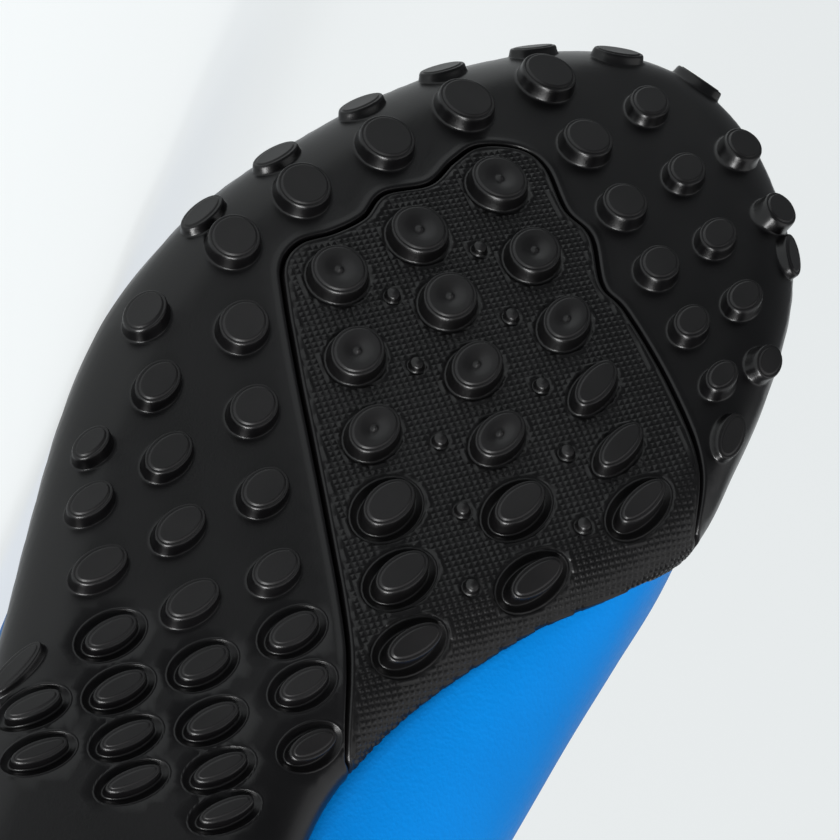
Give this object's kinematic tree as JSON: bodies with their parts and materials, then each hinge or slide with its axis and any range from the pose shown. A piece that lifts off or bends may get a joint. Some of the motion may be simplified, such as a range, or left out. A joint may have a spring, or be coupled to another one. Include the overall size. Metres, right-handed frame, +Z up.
{
  "type": "turf shoe",
  "caption": "Right turf shoe lying on its outer side: studded moulded rubber sole with a textured forefoot insert and a laced synthetic upper.",
  "frame": {"origin": "centre of the bounding box at the floor that the shoe lies on", "axes": "+Z up from the floor, towards the shoe's inner side; +X towards the heel, along the shoe's length; -Y is the side that the sole faces"},
  "size_m": [0.285, 0.1172, 0.1039],
  "materials": {
    "rubber": "satin moulded black rubber",
    "textured_rubber": "satin black rubber with a fine square texture",
    "synthetic": "blue coated synthetic with a fine grain",
    "tongue_cloth": "blue padded textile",
    "footbed": "dark brushed textile",
    "lace": "flat woven black lace"
  },
  "bodies": {
    "root": {"outsole": "rubber", "forefoot_insert": "textured_rubber", "upper": "synthetic", "tongue": "tongue_cloth", "insole": "footbed", "lace_bar_1": "lace", "lace_bar_2": "lace", "lace_bar_3": "lace", "lace_bar_4": "lace", "lace_bar_5": "lace", "lace_bar_6": "lace"}
  },
  "joints": []
}
